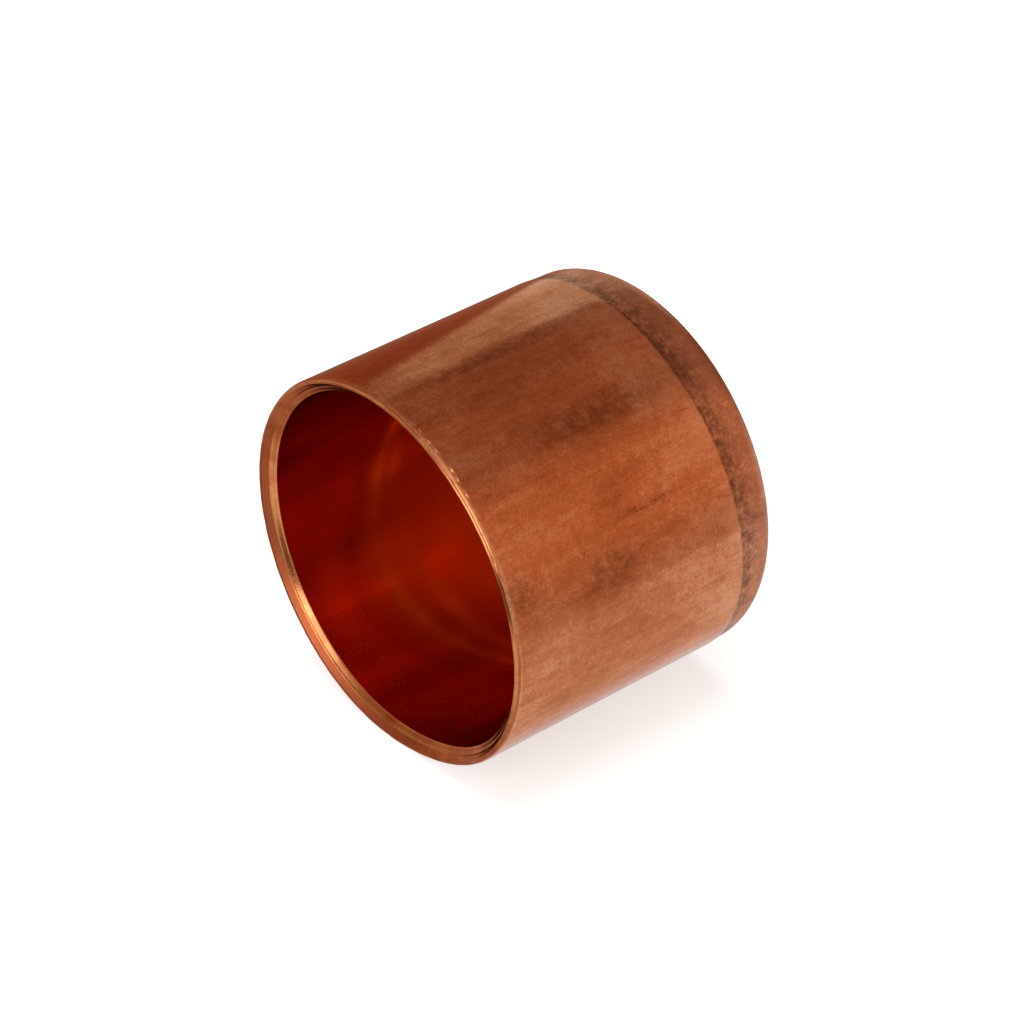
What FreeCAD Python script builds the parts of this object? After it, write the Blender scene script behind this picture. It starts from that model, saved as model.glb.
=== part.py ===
"""End-feed solder cap for 22 mm copper tube: one cup, drawn from a single disc of copper.

The cap lies on its side. The origin is on the axis of the socket, where its full-width wall
begins just inside the mouth. The closed end points along +Y, the mouth opens along -Y, and +Z is
up.
"""

import FreeCAD
import Part
import math
import os

# Driving dimensions, in millimetres.
TUBE_DIAMETER = 22.0
SOLDER_CLEARANCE = 0.1      # how much wider the socket is than the tube, on the diameter
WALL = 0.95
OVERALL_LENGTH = 19.5
END_THICKNESS = 1.0
SOCKET_LENGTH = 15.5        # the full-width wall, as far in as the sizing punch went
SHOULDER_LENGTH = 0.5       # the short cone between the sized socket and the closed end
SHOULDER_DROP = 0.1         # how much smaller the closed end is than the socket, on the radius
END_CORNER_RADIUS = 1.4     # outside, between the wall and the end face
FLOOR_CORNER_RADIUS = 0.6   # inside, between the wall and the floor
RIM_EDGE_RADIUS = 0.2       # the dulled outer edge of the mouth
LEAD_IN_WIDTH = 0.55        # the lead-in chamfer that guides the tube, across the wall
LEAD_IN_DEPTH = 0.68        # the same chamfer, along the axis

# Places worked out from them. A place is a distance y along the axis and a radius r from it.
RIM_Y = -LEAD_IN_DEPTH
END_Y = RIM_Y + OVERALL_LENGTH
FLOOR_Y = END_Y - END_THICKNESS
SHOULDER_END = SOCKET_LENGTH + SHOULDER_LENGTH
SOCKET_RADIUS = (TUBE_DIAMETER + SOLDER_CLEARANCE) / 2
OUTER_RADIUS = SOCKET_RADIUS + WALL
END_RADIUS = OUTER_RADIUS - SHOULDER_DROP
FLOOR_RADIUS = SOCKET_RADIUS - SHOULDER_DROP

AXIS_POINT = FreeCAD.Vector(0, 0, 0)
AXIS = FreeCAD.Vector(0, 1, 0)


def at(y, r):
    """The point at distance y along the axis and radius r, in the plane where X is 0."""
    return FreeCAD.Vector(0, y, r)


def line(start, end):
    """A straight edge of the section, from one (y, r) to another."""
    return Part.LineSegment(at(*start), at(*end)).toShape()


def corner(centre, radius, start_angle, end_angle):
    """A round corner of the section. Angles are in degrees, from +Y towards the outside."""
    angles = (start_angle, (start_angle + end_angle) / 2, end_angle)
    points = []
    for angle in angles:
        turn = math.radians(angle)
        points.append(at(centre[0] + radius * math.cos(turn), centre[1] + radius * math.sin(turn)))
    return Part.Arc(*points).toShape()


def outer_edges():
    """The outside of the section, from the middle of the end face to the rim."""
    corner_centre = (END_Y - END_CORNER_RADIUS, END_RADIUS - END_CORNER_RADIUS)
    rim_centre = (RIM_Y + RIM_EDGE_RADIUS, OUTER_RADIUS - RIM_EDGE_RADIUS)
    return [
        line((END_Y, 0), (END_Y, corner_centre[1])),
        corner(corner_centre, END_CORNER_RADIUS, 0, 90),
        line((corner_centre[0], END_RADIUS), (SHOULDER_END, END_RADIUS)),
        line((SHOULDER_END, END_RADIUS), (SOCKET_LENGTH, OUTER_RADIUS)),
        line((SOCKET_LENGTH, OUTER_RADIUS), (rim_centre[0], OUTER_RADIUS)),
        corner(rim_centre, RIM_EDGE_RADIUS, 90, 180),
    ]


def inner_edges():
    """The rest of the section: the rim, the lead-in, the socket, the floor and the axis."""
    rim_inside = SOCKET_RADIUS + LEAD_IN_WIDTH
    corner_centre = (FLOOR_Y - FLOOR_CORNER_RADIUS, FLOOR_RADIUS - FLOOR_CORNER_RADIUS)
    return [
        line((RIM_Y, OUTER_RADIUS - RIM_EDGE_RADIUS), (RIM_Y, rim_inside)),
        line((RIM_Y, rim_inside), (0, SOCKET_RADIUS)),
        line((0, SOCKET_RADIUS), (SOCKET_LENGTH, SOCKET_RADIUS)),
        line((SOCKET_LENGTH, SOCKET_RADIUS), (SHOULDER_END, FLOOR_RADIUS)),
        line((SHOULDER_END, FLOOR_RADIUS), (corner_centre[0], FLOOR_RADIUS)),
        corner(corner_centre, FLOOR_CORNER_RADIUS, 90, 0),
        line((FLOOR_Y, corner_centre[1]), (FLOOR_Y, 0)),
        line((FLOOR_Y, 0), (END_Y, 0)),
    ]


def cap_shell():
    """The whole cap: its section turned once about the axis of the socket."""
    section = Part.Face(Part.Wire(outer_edges() + inner_edges()))
    return section.revolve(AXIS_POINT, AXIS, 360)


os.makedirs("parts", exist_ok=True)
shell = cap_shell()
shell.exportStep("parts/cap_shell.step")
print("cap_shell", shell.ShapeType, "valid", shell.isValid(), "volume", round(shell.Volume, 2), "mm3")
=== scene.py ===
"""Looks of a drawn copper solder cap that lies on its side: its skin, materials, studio and camera.

The cap's axis is the Y axis and its mouth opens towards -Y. Lengths named _MM are in millimetres.
Places on the skin are given by their distance behind the rim, their radius, and their bearing
round the axis: 0 degrees is the top of the cap and 90 degrees is its +X side.
"""

import math

import bpy
import numpy as np
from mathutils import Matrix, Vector

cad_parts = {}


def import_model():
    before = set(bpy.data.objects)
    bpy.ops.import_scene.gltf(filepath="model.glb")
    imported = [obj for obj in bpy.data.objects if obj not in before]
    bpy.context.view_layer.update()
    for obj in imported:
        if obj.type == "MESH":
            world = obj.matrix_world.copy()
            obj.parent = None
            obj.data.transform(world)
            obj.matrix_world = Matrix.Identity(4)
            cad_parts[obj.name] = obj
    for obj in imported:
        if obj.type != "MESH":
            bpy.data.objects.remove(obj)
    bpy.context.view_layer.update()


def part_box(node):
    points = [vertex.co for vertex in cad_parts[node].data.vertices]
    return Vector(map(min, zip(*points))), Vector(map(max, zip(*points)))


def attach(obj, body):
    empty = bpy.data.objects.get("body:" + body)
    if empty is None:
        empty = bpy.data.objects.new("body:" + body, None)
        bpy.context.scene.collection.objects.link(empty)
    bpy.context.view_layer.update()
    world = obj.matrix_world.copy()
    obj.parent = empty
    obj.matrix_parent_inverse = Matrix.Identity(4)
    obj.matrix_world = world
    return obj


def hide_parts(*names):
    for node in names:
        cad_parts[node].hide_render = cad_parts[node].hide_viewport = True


MM = 0.001

# The cap's profile, beside what its CAD box gives
WALL_MM = 0.95
END_THICKNESS_MM = 1.0
SHOULDER_DROP_MM = 0.1
SHOULDER_FROM_RIM_MM = 16.6
INNER_SHOULDER_LENGTH_MM = 0.5
END_CORNER_RADIUS_MM = 1.4
FLOOR_CORNER_RADIUS_MM = 0.4
RIM_EDGE_RADIUS_MM = 0.06
LEAD_IN_WIDTH_MM = 0.71
LEAD_IN_DEPTH_MM = 0.68
LEAD_IN_EDGE_MM = 0.06

# Uneven work: how far each feature wanders round the cap
SHOULDER_TILT_MM = 0.42
SHOULDER_TILT_BEARING = -6.0
SHOULDER_BEND_MM = 0.1
SHOULDER_BEND_BEARING = 130.0
RIM_LOW_MM = 0.32
RIM_LOW_BEARING = 158.0
RIM_NICK_MM = 0.012
WAVE_MM = 0.012
LIP_TAPER_MM = 0.07
DENT_MM = 0.11
DENT_END_MM = 0.46
DENT_END_WANDER_MM = 0.05
DENT_LENGTH_MM = 0.14
DENT_BEARING = 37.0
# How far the rim's outer edge leans back, by bearing
RIM_LEAN_MM = [
    (-180, 0.01),
    (-75, 0.0),
    (-60, 0.035),
    (25, 0.045),
    (31, 0.09),
    (56, 0.09),
    (59, 0.0),
    (75, 0.0),
    (78, 0.06),
    (130, 0.06),
    (160, 0.03),
    (180, 0.01),
]

# Mesh density, and the seed of every random draw
SEGMENTS = 480
SEED = 22


# ---------------------------------------------------------------- skin

def arc(centre_r, centre_s, radius, start, end, count):
    """Points on an arc of the profile, from one angle to another, in degrees from outwards."""
    angles = np.radians(np.linspace(start, end, count))
    return [(centre_r + radius * math.cos(a), centre_s + radius * math.sin(a)) for a in angles]


def run(start, end, count):
    """Points evenly spaced from start to end, without the last one."""
    shares = np.linspace(0.0, 1.0, count, endpoint=False)
    return [(start[0] + (end[0] - start[0]) * t, start[1] + (end[1] - start[1]) * t) for t in shares]


def end_profile(radius, length):
    """The closed end, its rounded corner and the band between that and the shoulder line."""
    corner_r = radius - SHOULDER_DROP_MM - END_CORNER_RADIUS_MM
    corner_s = length - END_CORNER_RADIUS_MM
    points = run((0.0, length), (corner_r, length), 10)
    points += arc(corner_r, corner_s, END_CORNER_RADIUS_MM, 90, 0, 20)
    band_length = corner_s - SHOULDER_FROM_RIM_MM
    for share in np.linspace(1.0, 0.0, 14)[1:-1]:
        drop = SHOULDER_DROP_MM * math.sin(share * math.pi / 2)
        points.append((radius - drop, SHOULDER_FROM_RIM_MM + share * band_length))
    return points


def wall_profile(radius):
    """The outer wall, from the shoulder line up to the rim's outer edge."""
    points = run((radius, SHOULDER_FROM_RIM_MM), (radius, 1.0), 34)
    points += run((radius, 1.0), (radius, DENT_END_MM + 0.04), 4)
    points += run((radius, DENT_END_MM + 0.04), (radius, RIM_EDGE_RADIUS_MM), 16)
    return points


def rim_profile(radius):
    """The rim's rounded outer edge, its cut face and the ridged lead-in that guides the tube."""
    edge = RIM_EDGE_RADIUS_MM
    points = arc(radius - edge, edge + 0.02, edge, 0, -90, 8)
    bore = radius - WALL_MM
    face = bore + LEAD_IN_WIDTH_MM
    steps = [
        (radius - edge, 0.02, 5),
        (face + 0.10, 0.03, 4),
        (face + 0.05, 0.0, 3),
        (face, 0.01, 5),
        (face - 0.26, 0.28, 3),
        (face - 0.29, 0.31, 4),
        (face - 0.36, 0.40, 3),
        (face - 0.43, 0.44, 7),
        (face - 0.65, 0.64, 4),
        (bore, LEAD_IN_DEPTH_MM, 1),
    ]
    for (r0, s0, count), (r1, s1, _) in zip(steps, steps[1:]):
        points += run((r0, s0), (r1, s1), count)
    return points[:8] + points[9:]


def bore_profile(radius, length):
    """The socket's wall, the inner shoulder and the inside floor."""
    bore = radius - WALL_MM
    inner = bore - SHOULDER_DROP_MM
    floor = length - END_THICKNESS_MM
    step_start = SHOULDER_FROM_RIM_MM - INNER_SHOULDER_LENGTH_MM / 2
    step_end = SHOULDER_FROM_RIM_MM + INNER_SHOULDER_LENGTH_MM / 2
    corner_r = inner - FLOOR_CORNER_RADIUS_MM
    corner_s = floor - FLOOR_CORNER_RADIUS_MM
    wall_start = LEAD_IN_DEPTH_MM + LEAD_IN_EDGE_MM
    points = run((bore, LEAD_IN_DEPTH_MM), (bore, wall_start), 2)
    points += run((bore, wall_start), (bore, step_start), 20)
    points += run((bore, step_start), (inner, step_end), 6)
    points += run((inner, step_end), (inner, corner_s), 4)
    points += arc(corner_r, corner_s, FLOOR_CORNER_RADIUS_MM, 0, 90, 10)
    points += run((corner_r, floor), (0.0, floor), 10)[1:]
    points.append((0.0, floor))
    return points


def smooth(x, low, high):
    """0 below low, 1 above high, and an even change between them."""
    t = np.clip((x - low) / (high - low), 0.0, 1.0)
    return t * t * (3.0 - 2.0 * t)


def waves(bearing, s, rng, count):
    """A sum of random low waves over bearing (radians) and distance from the rim, within -1 to 1."""
    total = np.zeros(np.broadcast(bearing, s).shape)
    for _ in range(count):
        turns = rng.integers(1, 7)
        pitch = rng.uniform(6.0, 30.0)
        phase = rng.uniform(0.0, 2.0 * math.pi, 2)
        total += np.sin(turns * bearing + phase[0]) * np.sin(2.0 * math.pi * s / pitch + phase[1])
    return total / count


def ring_noise(bearings, rng, low, high):
    """Rough noise round a ring, about -1 to 1, with low to high swings in a turn."""
    total = np.zeros(bearings.shape)
    for _ in range(8):
        total += np.sin(rng.integers(low, high) * bearings + rng.uniform(0.0, 2.0 * math.pi))
    return total[None, :] / 3.0


def skin_points(profile, bearings):
    """Grid of points, ring by bearing, with the cap's uneven shoulder, rim and wall."""
    rng = np.random.default_rng(SEED)
    r = profile[:, 0][:, None]
    s = profile[:, 1][:, None]
    b = bearings[None, :]
    tilt = -SHOULDER_TILT_MM * np.cos(b - math.radians(SHOULDER_TILT_BEARING))
    bend = SHOULDER_BEND_MM * np.cos(2.0 * (b - math.radians(SHOULDER_BEND_BEARING)))
    near_shoulder = smooth(s, 9.0, 15.5) * (1.0 - smooth(s, 16.9, 18.0))
    low_rim = RIM_LOW_MM * np.clip(np.cos(b - math.radians(RIM_LOW_BEARING)), 0.0, 1.0) ** 8
    nicks = RIM_NICK_MM * smooth(ring_noise(bearings, rng, 20, 70), -0.6, 1.0)
    moved_s = s + (tilt + bend) * near_shoulder + low_rim * (1.0 - smooth(s, 0.5, 5.0))
    moved_s = moved_s + nicks * (1.0 - smooth(s, 0.05, 0.6))
    radius = r.max()
    face = radius - WALL_MM + LEAD_IN_WIDTH_MM
    lean = np.interp(np.degrees(b), *zip(*RIM_LEAN_MM), period=360.0)
    moved_s = moved_s + lean * smooth(r, face, radius) * (1.0 - smooth(s, 0.02, 0.3))
    wall = smooth(r, 4.0, 10.0) * (1.0 - smooth(s, 17.0, 18.5)) * smooth(s, 0.2, 2.0)
    moved_r = r - WAVE_MM * 0.5 * (1.0 + waves(b, s, rng, 9)) * wall
    outside = r > face
    dents = smooth(ring_noise(bearings, rng, 25, 110), 0.05, 0.5)
    dents = dents * smooth(np.cos(b - math.radians(DENT_BEARING)), 0.87, 0.94)
    dent_end = DENT_END_MM + DENT_END_WANDER_MM * ring_noise(bearings, rng, 5, 30)
    bottom = dent_end - DENT_LENGTH_MM
    dent_shape = smooth(s, bottom - 0.06, bottom) * (1.0 - smooth(s, bottom, dent_end))
    dented = DENT_MM * dents * dent_shape
    taper = LIP_TAPER_MM * (1.0 - smooth(s, 0.0, 0.3))
    moved_r = moved_r - (dented + taper) * outside
    return moved_r, moved_s, b


def make_skin(low, high):
    """The cap's whole surface as one closed mesh, from the centre of the end to the inside floor."""
    radius = -low.z / MM
    length = (high.y - low.y) / MM
    parts = [end_profile(radius, length), wall_profile(radius)]
    parts += [rim_profile(radius), bore_profile(radius, length)]
    slot_of_ring = np.repeat(np.arange(4), [len(p) for p in parts])
    profile = np.array([point for part in parts for point in part])
    bearings = np.linspace(0.0, 2.0 * math.pi, SEGMENTS, endpoint=False)
    r, s, b = skin_points(profile[1:-1], bearings)
    grid = np.stack([r * np.sin(b), low.y / MM + s, r * np.cos(b)], -1) * MM
    rings = grid.shape[0]
    first = Vector((0.0, low.y + profile[0, 1] * MM, 0.0))
    last = Vector((0.0, low.y + profile[-1, 1] * MM, 0.0))
    points = [first, *map(Vector, grid.reshape(-1, 3)), last]
    faces = []
    slots = []
    for ring in range(rings + 1):
        for i in range(SEGMENTS):
            j = (i + 1) % SEGMENTS
            here = 1 + (ring - 1) * SEGMENTS
            there = here + SEGMENTS
            if ring == 0:
                faces.append((0, 1 + i, 1 + j))
            elif ring == rings:
                faces.append((here + j, here + i, len(points) - 1))
            else:
                faces.append((here + j, here + i, there + i, there + j))
            slots.append(int(slot_of_ring[ring]))
    mesh = bpy.data.meshes.new("cap_skin")
    mesh.from_pydata(points, [], faces)
    mesh.polygons.foreach_set("material_index", slots)
    mesh.shade_smooth()
    from_rim = mesh.attributes.new("from_rim", "FLOAT", "POINT")
    rings_s = np.repeat(profile[1:-1, 1], SEGMENTS)
    from_rim.data.foreach_set("value", [profile[0, 1], *rings_s, profile[-1, 1]])
    mesh.validate()
    cap = bpy.data.objects.new("cap_skin", mesh)
    bpy.context.scene.collection.objects.link(cap)
    return cap


# ---------------------------------------------------------------- materials

class Shader:
    """A metal material under construction, with short calls for the nodes it needs."""

    def __init__(self, name):
        self.material = bpy.data.materials.new(name)
        self.material.use_nodes = True
        self.nodes = self.material.node_tree.nodes
        self.links = self.material.node_tree.links
        self.bsdf = self.nodes["Principled BSDF"]
        self.bsdf.inputs["Metallic"].default_value = 1.0
        coordinates = self.nodes.new("ShaderNodeTexCoord")
        self.place = self.stretch(coordinates.outputs["Object"], (1000.0, 1000.0, 1000.0))
        axes = self.nodes.new("ShaderNodeSeparateXYZ")
        self.links.new(self.place, axes.inputs[0])
        self.x, self.y, self.z = axes.outputs
        attribute = self.nodes.new("ShaderNodeAttribute")
        attribute.attribute_name = "from_rim"
        self.from_rim = attribute.outputs["Fac"]

    def put(self, socket, value):
        """Links a node's output to a socket, or sets the socket to a plain value."""
        if isinstance(value, bpy.types.NodeSocket):
            self.links.new(value, socket)
        else:
            socket.default_value = value

    def stretch(self, vector, factors):
        node = self.nodes.new("ShaderNodeVectorMath")
        node.operation = "MULTIPLY"
        self.put(node.inputs[0], vector)
        node.inputs[1].default_value = factors
        return node.outputs[0]

    def noise(self, per_mm, detail=4.0, roughness=0.6, along=1.0, shift=0.0):
        """Noise with so many features in a millimetre; along < 1 draws them out along the axis."""
        node = self.nodes.new("ShaderNodeTexNoise")
        node.noise_dimensions = "4D"
        self.put(node.inputs["Vector"], self.stretch(self.place, (1.0, along, 1.0)))
        node.inputs["W"].default_value = shift
        node.inputs["Scale"].default_value = per_mm
        node.inputs["Detail"].default_value = detail
        node.inputs["Roughness"].default_value = roughness
        return node.outputs["Fac"]

    def spots(self, per_mm, radius, shift):
        """1 in small round spots scattered over the surface, and 0 between them."""
        node = self.nodes.new("ShaderNodeTexVoronoi")
        node.voronoi_dimensions = "4D"
        self.put(node.inputs["Vector"], self.place)
        node.inputs["W"].default_value = shift
        node.inputs["Scale"].default_value = per_mm
        return self.between(node.outputs["Distance"], radius, radius * 0.5)

    def between(self, value, low, high, out_low=0.0, out_high=1.0):
        """Value from low to high, turned smoothly into out_low to out_high."""
        node = self.nodes.new("ShaderNodeMapRange")
        node.interpolation_type = "SMOOTHSTEP"
        self.put(node.inputs["Value"], value)
        names = ("From Min", "From Max", "To Min", "To Max")
        for name, number in zip(names, (low, high, out_low, out_high)):
            node.inputs[name].default_value = number
        return node.outputs["Result"]

    def math(self, operation, a, b):
        node = self.nodes.new("ShaderNodeMath")
        node.operation = operation
        self.put(node.inputs[0], a)
        self.put(node.inputs[1], b)
        return node.outputs[0]

    def mix(self, share, a, b):
        """Colour a where share is 0, and colour b where it is 1."""
        node = self.nodes.new("ShaderNodeMix")
        node.data_type = "RGBA"
        self.put(node.inputs[0], share)
        self.put(node.inputs[6], a)
        self.put(node.inputs[7], b)
        return node.outputs[2]

    def curve(self, value, stops):
        """A number looked up in (value, result) stops, all within 0 to 1."""
        node = self.nodes.new("ShaderNodeValToRGB")
        self.put(node.inputs["Fac"], value)
        ramp = node.color_ramp
        ramp.interpolation = "EASE"
        while len(ramp.elements) < len(stops):
            ramp.elements.new(1.0)
        for element, (at, level) in zip(ramp.elements, stops):
            element.position = at
            element.color = (level, level, level, 1.0)
        return node.outputs["Color"]

    def blend(self, value, stops):
        """A colour looked up in (value, colour) stops, all within 0 to 1."""
        node = self.nodes.new("ShaderNodeValToRGB")
        self.put(node.inputs["Fac"], value)
        ramp = node.color_ramp
        while len(ramp.elements) < len(stops):
            ramp.elements.new(1.0)
        for element, (at, colour) in zip(ramp.elements, stops):
            element.position = at
            element.color = colour
        return node.outputs["Color"]

    def near(self, spot, radius, along=1.0):
        """1 at a spot (in mm), fading to 0 at radius; along < 1 draws it out along the axis."""
        node = self.nodes.new("ShaderNodeVectorMath")
        node.operation = "DISTANCE"
        self.put(node.inputs[0], self.stretch(self.place, (1.0, along, 1.0)))
        node.inputs[1].default_value = (spot[0], spot[1] * along, spot[2])
        return self.between(node.outputs["Value"], radius, radius * 0.3)

    def bump(self, height, depth_mm, under=None):
        node = self.nodes.new("ShaderNodeBump")
        node.inputs["Distance"].default_value = depth_mm * MM
        self.put(node.inputs["Height"], height)
        if under is not None:
            self.put(node.inputs["Normal"], under)
        return node.outputs["Normal"]

    def finish(self, colour, roughness, normal):
        self.put(self.bsdf.inputs["Base Color"], colour)
        self.put(self.bsdf.inputs["Roughness"], roughness)
        self.put(self.bsdf.inputs["Normal"], normal)
        return self.material


# Metal colours of the outer wall and the closed end
CLEAN_COPPER = (0.74, 0.29, 0.145, 1.0)
WORN_COPPER = (0.57, 0.155, 0.058, 1.0)
TARNISH = (0.36, 0.083, 0.023, 1.0)
BROWN_COPPER = (0.545, 0.185, 0.092, 1.0)
BROWN_TARNISH = (0.36, 0.14, 0.082, 1.0)
DARK_TARNISH = (0.12, 0.035, 0.018, 1.0)
EDGE_TINT = (0.95, 0.72, 0.60, 1.0)
# Metal colours of the cut rim
BRIGHT_CUT = (0.82, 0.33, 0.13, 1.0)
DULL_CUT = (0.66, 0.22, 0.085, 1.0)
RED_STAIN = (0.49, 0.12, 0.05, 1.0)
CUT_LINE = (0.36, 0.10, 0.035, 1.0)
# Colour of a painted dark reflection on the rim face
PAINTED_DARK_REFLECTION = (0.20, 0.055, 0.018, 1.0)
# Metal colours of the bore
CLEAN_BORE = (0.79, 0.31, 0.10, 1.0)
WORN_BORE = (0.70, 0.25, 0.075, 1.0)
# Painted shade, then painted light, for patches in the bore
PAINTED_SHADE_BORE = (0.45, 0.12, 0.03, 1.0)
PAINTED_LIGHT_BORE = (0.98, 0.37, 0.10, 1.0)
DUST = (0.80, 0.36, 0.16, 1.0)

# How tarnished the metal is, 0 to 1, by distance from the rim as a share of TONE_SPAN_MM
TONE_SPAN_MM = 20.0
END_TONES = [(0.0, 0.5), (0.88, 0.48), (1.0, 0.55)]
WALL_TONES = [
    (0.0, 0.15),
    (0.015, 0.15),
    (0.022, 0.42),
    (0.10, 0.42),
    (0.35, 0.55),
    (0.58, 0.43),
    (0.70, 0.27),
    (0.80, 0.21),
    (0.825, 0.21),
    (0.85, 0.6),
    (1.0, 0.6),
]

# Stains on the wall, and as the third entry a painted dark reflection streak along the top: place in mm,
# radius in mm, and how far they are drawn out along the axis
WALL_STAINS_AND_REFLECTION_STREAK = [
    ((11.5, 6.8, 3.5), 1.9, 0.7),
    ((6.4, 9.5, 10.2), 1.5, 0.25),
    # Painted dark reflection streak along the top of the wall, drawn out along the axis
    ((0.2, 8.0, 12.0), 0.9, 0.1),
    ((10.9, 0.1, 4.7), 1.7, 0.8),
]
# Places of a painted dark reflection on the rim face, and of painted shade and painted light patches in
# the bore, in mm
# Place of a painted dark reflection on the rim face
PAINTED_RIM_REFLECTION_SPOT = (10.95, -0.6, 4.65)
PAINTED_SHADE_IN_BORE = [(-2.9, 8.6, -10.7), (-10.4, 6.0, 3.6)]
PAINTED_LIGHT_IN_BORE = [(-6.6, 10.3, -8.9), (-7.5, 2.5, -8.1)]


def tarnished_wall(name, tones, worn, tarnish, mottle):
    """Drawn wall: fine mottled tarnish, marks along the axis, dark specks, a stained crease, darker
    stains, and a painted dark reflection streak along the top.
    """
    m = Shader(name)
    m.bsdf.inputs["Specular Tint"].default_value = EDGE_TINT
    tone = m.curve(m.math("MULTIPLY", m.from_rim, 1.0 / TONE_SPAN_MM), tones)
    patches = m.noise(0.35, 4.0, 0.6, shift=1.0)
    streaks = m.noise(1.6, 4.0, 0.65, along=0.12, shift=2.0)
    mottling = m.noise(1.8, 5.0, 0.8, shift=3.0)
    grain = m.noise(7.0, 3.0, 0.8, shift=4.0)
    textures = ((patches, 0.9), (streaks, 0.8), (mottling, 1.15 * mottle), (grain, 1.2 * mottle))
    for texture, weight in textures:
        swing = m.math("MULTIPLY", m.math("SUBTRACT", texture, 0.5), weight)
        tone = m.math("ADD", tone, swing)
    tone = m.between(tone, -0.2, 1.2)
    colour = m.blend(tone, [(0.0, CLEAN_COPPER), (0.42, worn), (1.0, tarnish)])
    specks = m.math("MULTIPLY", m.spots(2.2, 0.17, 5.0), m.between(mottling, 0.42, 0.54))
    scuffs = m.math("MULTIPLY", m.between(streaks, 0.60, 0.72), m.between(grain, 0.4, 0.6))
    colour = m.mix(m.math("MULTIPLY", specks, 0.7), colour, DARK_TARNISH)
    colour = m.mix(m.math("MULTIPLY", scuffs, 0.5), colour, DARK_TARNISH)
    behind_crease = m.math("SUBTRACT", m.from_rim, SHOULDER_FROM_RIM_MM)
    crease = m.math("MULTIPLY", m.between(behind_crease, -0.1, 0.12), m.between(behind_crease, 0.5, 0.15))
    stain = m.math("MULTIPLY", m.between(behind_crease, 0.0, 0.2), m.between(behind_crease, 1.4, 0.35))
    crease = m.math("MULTIPLY", crease, m.between(mottling, 0.35, 0.6, 0.15, 0.8))
    stain = m.math("MULTIPLY", stain, m.between(mottling, 0.38, 0.6, 0.1, 0.7))
    colour = m.mix(m.math("MAXIMUM", crease, stain), colour, DARK_TARNISH)
    # Darken the stains; the third entry paints a dark reflection streak along the top of the wall
    for spot, radius, along in WALL_STAINS_AND_REFLECTION_STREAK:
        share = m.math("MULTIPLY", m.near(spot, radius, along), m.between(mottling, 0.35, 0.6, 0.05, 0.4))
        colour = m.mix(share, colour, DARK_TARNISH)
    gloss = m.math("ADD", m.between(tone, 0.0, 1.0, 0.11, 0.17), m.math("MULTIPLY", grain, 0.06))
    gloss = m.math("ADD", gloss, m.between(behind_crease, 0.0, 0.4, 0.0, 0.16))
    normal = m.bump(mottling, 0.006)
    normal = m.bump(grain, 0.003, normal)
    return m.finish(colour, gloss, normal)


def cut_rim():
    """Cut rim and lead-in: bright copper with cut lines, a red-brown stain and one painted dark
    reflection on the face.
    """
    m = Shader("cut_rim")
    patches = m.noise(0.8, 4.0, 0.6, shift=11.0)
    marks = m.noise(14.0, 3.0, 0.6, shift=12.0)
    colour = m.mix(m.between(patches, 0.42, 0.62), BRIGHT_CUT, DULL_CUT)
    sideways = m.math("MULTIPLY", m.x, -0.77)
    across = m.math("SUBTRACT", sideways, m.math("MULTIPLY", m.z, 0.64))
    across = m.math("ADD", across, m.math("MULTIPLY", m.math("SUBTRACT", patches, 0.5), 5.0))
    stain = m.math("MULTIPLY", m.between(across, 3.5, 6.5), m.between(m.from_rim, 0.42, 0.32))
    stained = m.math("MULTIPLY", stain, m.between(marks, 0.3, 0.6, 0.75, 1.0))
    colour = m.mix(stained, colour, RED_STAIN)
    wave = m.math("SINE", m.math("MULTIPLY", m.from_rim, 48.0), 0.0)
    colour = m.mix(m.between(wave, 0.1, 0.9, 0.0, 0.3), colour, CUT_LINE)
    # Paint a dark reflection onto the rim face
    colour = m.mix(m.math("MULTIPLY", m.near(PAINTED_RIM_REFLECTION_SPOT, 2.3), 0.92), colour, PAINTED_DARK_REFLECTION)
    gloss = m.math("ADD", m.between(marks, 0.2, 0.8, 0.14, 0.26), m.math("MULTIPLY", stain, 0.25))
    normal = m.bump(marks, 0.006)
    return m.finish(colour, gloss, normal)


def bore_wall():
    """Inside of the socket: glossy metal, faint draw lines, uneven patches, patches of painted shade and
    painted light, and dust by the mouth.
    """
    m = Shader("bore_wall")
    patches = m.noise(0.3, 4.0, 0.6, shift=21.0)
    lines = m.noise(3.0, 3.0, 0.6, along=0.05, shift=22.0)
    colour = m.mix(m.between(patches, 0.35, 0.7), CLEAN_BORE, WORN_BORE)
    # Paint shade into two patches of the bore
    for spot in PAINTED_SHADE_IN_BORE:
        colour = m.mix(m.math("MULTIPLY", m.near(spot, 4.5), 0.6), colour, PAINTED_SHADE_BORE)
    # Paint light into two patches of the bore
    for spot in PAINTED_LIGHT_IN_BORE:
        colour = m.mix(m.near(spot, 3.8), colour, PAINTED_LIGHT_BORE)
    where = m.math("MULTIPLY", m.between(m.z, -5.0, -9.0), m.between(m.from_rim, 9.0, 2.0))
    clusters = m.between(m.noise(0.9, 2.0, 0.5, shift=24.0), 0.32, 0.46)
    dust = m.math("MULTIPLY", m.spots(5.0, 0.32, 23.0), clusters)
    dust = m.math("MULTIPLY", dust, where)
    colour = m.mix(m.math("MULTIPLY", dust, 0.8), colour, DUST)
    gloss = m.math("ADD", m.between(lines, 0.2, 0.8, 0.09, 0.15), m.math("MULTIPLY", dust, 0.24))
    normal = m.bump(lines, 0.006)
    return m.finish(colour, gloss, normal)


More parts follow.
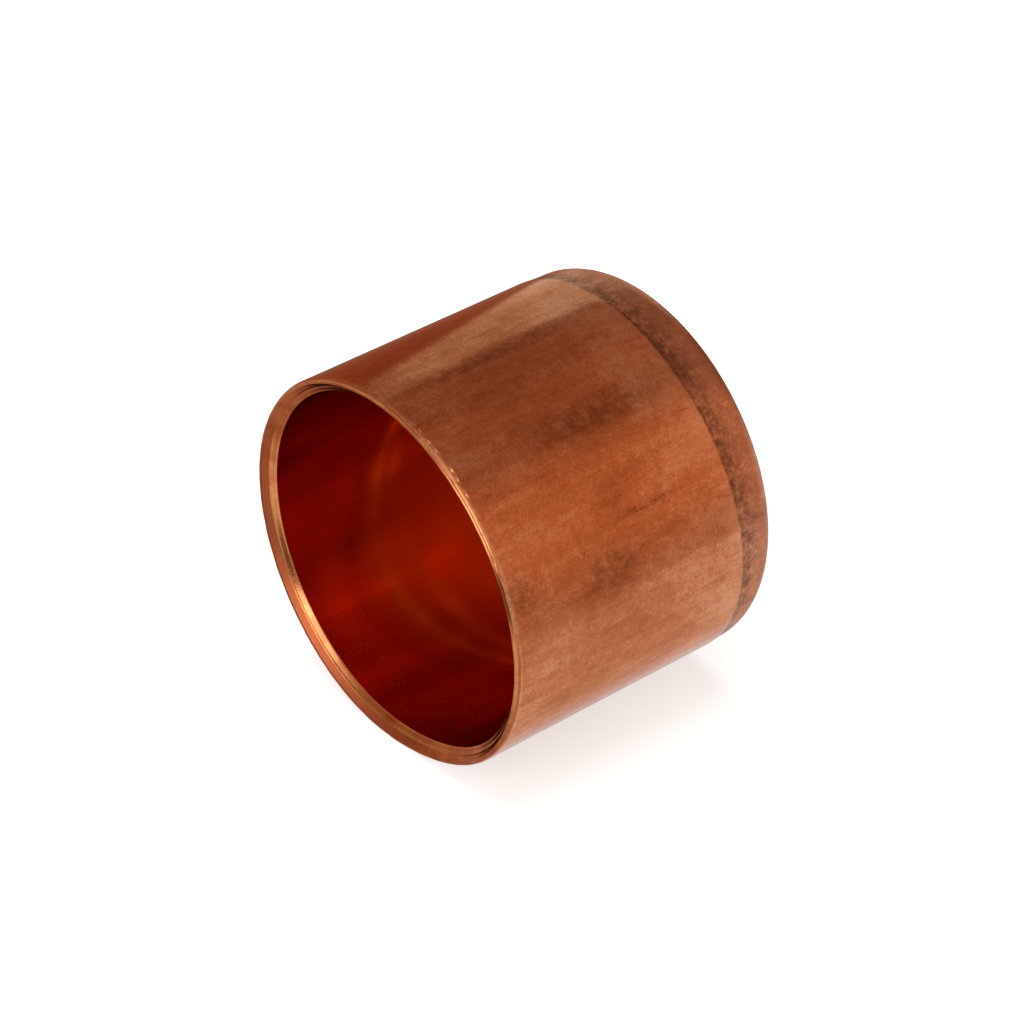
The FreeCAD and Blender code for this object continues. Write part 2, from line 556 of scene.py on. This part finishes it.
def paper_floor():
    """Matt white floor that the cap lies on."""
    m = Shader("paper_floor")
    m.bsdf.inputs["Metallic"].default_value = 0.0
    m.bsdf.inputs["Emission Color"].default_value = (1.0, 1.0, 1.0, 1.0)
    m.bsdf.inputs["Emission Strength"].default_value = 0.62
    grain = m.noise(0.6, 3.0, 0.6, shift=31.0)
    colour = m.mix(grain, (0.54, 0.54, 0.54, 1.0), (0.57, 0.57, 0.57, 1.0))
    return m.finish(colour, 0.9, m.bump(grain, 0.01))


# ---------------------------------------------------------------- studio

def make_floor(height):
    half = 1.5
    mesh = bpy.data.meshes.new("floor")
    corners = [(-half, -half, height), (half, -half, height), (half, half, height), (-half, half, height)]
    mesh.from_pydata(corners, [], [(0, 1, 2, 3)])
    mesh.materials.append(paper_floor())
    floor = bpy.data.objects.new("floor", mesh)
    bpy.context.scene.collection.objects.link(floor)
    floor.visible_glossy = False


def softbox(name, place_mm, aim_mm, size_mm, radiance):
    """A rectangular lamp that faces aim and looks as bright as radiance says."""
    lamp = bpy.data.lights.new(name, "AREA")
    lamp.shape = "RECTANGLE"
    lamp.size = size_mm[0] * MM
    lamp.size_y = size_mm[1] * MM
    lamp.energy = radiance * math.pi * lamp.size * lamp.size_y
    box = bpy.data.objects.new(name, lamp)
    box.location = Vector(place_mm) * MM
    box.rotation_euler = (Vector(aim_mm) - Vector(place_mm)).to_track_quat("-Z", "Y").to_euler()
    bpy.context.scene.collection.objects.link(box)
    return box


# What surrounds the cap, by angle round its axis: 0 is overhead and 90 is the +X side. BEHIND is
# on the closed end's side, IN_FRONT is on the mouth's side, and AHEAD is nearest the mouth's axis.
BEHIND = [
    (-180, (0.84, 1.00, 1.15)),
    (-165, (0.86, 1.04, 1.25)),
    (-150, (0.80, 0.92, 1.00)),
    (-128, (0.34, 0.22, 0.17)),
    (-105, (0.36, 0.17, 0.10)),
    (-76, (0.34, 0.17, 0.11)),
    (-50, (0.34, 0.27, 0.23)),
    (-30, (0.35, 0.27, 0.22)),
    (-10, (0.43, 0.33, 0.26)),
    (20, (0.41, 0.32, 0.25)),
    (40, (0.72, 0.56, 0.44)),
    (80, (0.76, 0.60, 0.47)),
    (98, (0.64, 0.56, 0.46)),
    (112, (0.62, 0.53, 0.45)),
    (116, (0.86, 0.98, 1.06)),
    (180, (0.84, 1.00, 1.15)),
]
IN_FRONT = [
    (-180, (0.42, 0.27, 0.20)),
    (-140, (0.40, 0.27, 0.21)),
    (-118, (0.58, 0.46, 0.39)),
    (-90, (0.42, 0.27, 0.21)),
    (-60, (0.36, 0.22, 0.17)),
    (-25, (0.44, 0.38, 0.34)),
    (15, (0.82, 0.76, 0.70)),
    (60, (0.62, 0.58, 0.54)),
    (84, (0.80, 0.76, 0.72)),
    (120, (0.60, 0.55, 0.50)),
    (150, (0.52, 0.42, 0.36)),
    (180, (0.42, 0.27, 0.20)),
]
AHEAD = [
    (-180, (0.90, 0.88, 0.80)),
    (-110, (0.90, 0.88, 0.80)),
    (-60, (0.28, 0.15, 0.09)),
    (-15, (0.28, 0.15, 0.09)),
    (-9, (1.50, 1.50, 1.50)),
    (14, (1.50, 1.50, 1.50)),
    (18, (2.80, 2.80, 2.80)),
    (65, (2.80, 2.80, 2.80)),
    (71, (0.14, 0.09, 0.06)),
    (118, (0.14, 0.09, 0.06)),
    (128, (0.85, 0.84, 0.78)),
    (180, (0.90, 0.88, 0.80)),
]
BACKDROP = (0.86, 0.86, 0.86, 1.0)
# How much of AHEAD is left after a ray's first reflection
AHEAD_AFTER_FIRST = 0.3


class Surroundings:
    """The world's colour, built from the direction that a ray leaves in."""

    def __init__(self):
        self.world = bpy.data.worlds.new("studio")
        self.world.use_nodes = True
        self.nodes = self.world.node_tree.nodes
        self.links = self.world.node_tree.links
        coordinates = self.nodes.new("ShaderNodeTexCoord")
        axes = self.nodes.new("ShaderNodeSeparateXYZ")
        self.links.new(coordinates.outputs["Generated"], axes.inputs[0])
        angle = self.nodes.new("ShaderNodeMath")
        angle.operation = "ARCTAN2"
        self.links.new(axes.outputs["X"], angle.inputs[0])
        self.links.new(axes.outputs["Z"], angle.inputs[1])
        self.turn = self.share(angle.outputs[0], -math.pi, math.pi)
        self.behind = self.share(axes.outputs["Y"], 0.0, 0.35)
        self.ahead = self.share(axes.outputs["Y"], -0.57, -0.66)
        path = self.nodes.new("ShaderNodeLightPath")
        self.camera = path.outputs["Is Camera Ray"]
        self.first_bounce = self.share(path.outputs["Ray Depth"], 2.6, 2.4, AHEAD_AFTER_FIRST)

    def share(self, value, low, high, least=0.0):
        """Least where value is low, and 1 where it is high."""
        node = self.nodes.new("ShaderNodeMapRange")
        node.inputs["To Min"].default_value = least
        node.inputs["From Min"].default_value = low
        node.inputs["From Max"].default_value = high
        self.links.new(value, node.inputs["Value"])
        return node.outputs[0]

    def bands(self, stops):
        """Colour by angle round the cap's axis."""
        node = self.nodes.new("ShaderNodeValToRGB")
        self.links.new(self.turn, node.inputs["Fac"])
        while len(node.color_ramp.elements) < len(stops):
            node.color_ramp.elements.new(1.0)
        for element, (degrees, colour) in zip(node.color_ramp.elements, stops):
            element.position = (degrees + 180.0) / 360.0
            element.color = (*colour, 1.0)
        return node.outputs["Color"]

    def mix(self, share, a, b):
        node = self.nodes.new("ShaderNodeMix")
        node.data_type = "RGBA"
        self.links.new(share, node.inputs[0])
        self.links.new(a, node.inputs[6])
        if isinstance(b, bpy.types.NodeSocket):
            self.links.new(b, node.inputs[7])
        else:
            node.inputs[7].default_value = b
        return node.outputs[2]


def make_world():
    """Soft surroundings in bands round the cap's axis, and a pale backdrop behind the floor."""
    s = Surroundings()
    around = s.mix(s.behind, s.bands(IN_FRONT), s.bands(BEHIND))
    lit = s.mix(s.ahead, around, s.bands(AHEAD))
    around = s.mix(s.first_bounce, around, lit)
    colour = s.mix(s.camera, around, BACKDROP)
    s.links.new(colour, s.nodes["Background"].inputs["Color"])
    bpy.context.scene.world = s.world


def make_reflector():
    """A glowing card beside and behind the cap, with a slanted edge, seen only in reflections."""
    top = (-41, 44)
    low = (-56, -3.5)
    outline = [(top[0], 29, top[1]), (-46, 28, 28), (low[0], 49, low[1]), (low[0], 130, low[1]),
               (top[0], 130, top[1])]
    mesh = bpy.data.meshes.new("reflector")
    mesh.from_pydata([Vector(p) * MM for p in outline], [], [range(len(outline))])
    material = bpy.data.materials.new("reflector")
    material.use_nodes = True
    nodes = material.node_tree.nodes
    links = material.node_tree.links
    bsdf = nodes["Principled BSDF"]
    bsdf.inputs["Base Color"].default_value = (0.0, 0.0, 0.0, 1.0)
    bsdf.inputs["Emission Color"].default_value = (0.78, 0.95, 1.0, 1.0)
    coordinates = nodes.new("ShaderNodeTexCoord")
    axes = nodes.new("ShaderNodeSeparateXYZ")
    fade = nodes.new("ShaderNodeMapRange")
    limits = {"From Min": 5 * MM, "From Max": 25 * MM, "To Min": 0.95, "To Max": 0.72}
    for name, number in limits.items():
        fade.inputs[name].default_value = number
    links.new(coordinates.outputs["Object"], axes.inputs[0])
    links.new(axes.outputs["Z"], fade.inputs["Value"])
    links.new(fade.outputs["Result"], bsdf.inputs["Emission Strength"])
    mesh.materials.append(material)
    card = bpy.data.objects.new("reflector", mesh)
    card.visible_camera = False
    card.visible_diffuse = False
    card.visible_shadow = False
    bpy.context.scene.collection.objects.link(card)


def make_camera(rim_y):
    """The camera looks down into the mouth from the right, with its upright edge level."""
    azimuth = math.radians(50.6)
    elevation = math.radians(36.2)
    back = Vector((math.sin(azimuth) * math.cos(elevation), -math.cos(azimuth) * math.cos(elevation),
                   math.sin(elevation)))
    aim = Vector((2.985, rim_y + 7.01, 2.935))
    camera = bpy.data.cameras.new("camera")
    camera.lens = 135.3
    camera.sensor_width = 36.0
    camera.clip_start = 0.01
    camera.clip_end = 10.0
    holder = bpy.data.objects.new("camera", camera)
    holder.location = (aim + back * 218.7) * MM
    holder.rotation_mode = "QUATERNION"
    holder.rotation_quaternion = (-back).to_track_quat("-Z", "Y")
    bpy.context.scene.collection.objects.link(holder)
    bpy.context.scene.camera = holder


def set_light_handling():
    scene = bpy.context.scene
    scene.view_settings.view_transform = "Standard"
    scene.cycles.max_bounces = 16
    scene.cycles.glossy_bounces = 14
    scene.cycles.diffuse_bounces = 4


def main():
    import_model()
    low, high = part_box("cap_shell")
    cap = make_skin(low, high)
    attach(cap, "root")
    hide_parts("cap_shell")
    for material in (
        tarnished_wall("closed_end", END_TONES, BROWN_COPPER, BROWN_TARNISH, 1.5),
        tarnished_wall("outer_wall", WALL_TONES, WORN_COPPER, TARNISH, 1.0),
        cut_rim(),
        bore_wall(),
    ):
        cap.data.materials.append(material)
    make_floor(low.z)
    make_world()
    make_reflector()
    softbox("front_softbox", (60, -235, 190), (0, 0, 0), (200, 200), 2.0).visible_glossy = False
    softbox("top_softbox", (0, -20, 350), (0, 0, 0), (250, 250), 4.5).visible_glossy = False
    set_light_handling()
    make_camera(low.y / MM)


main()
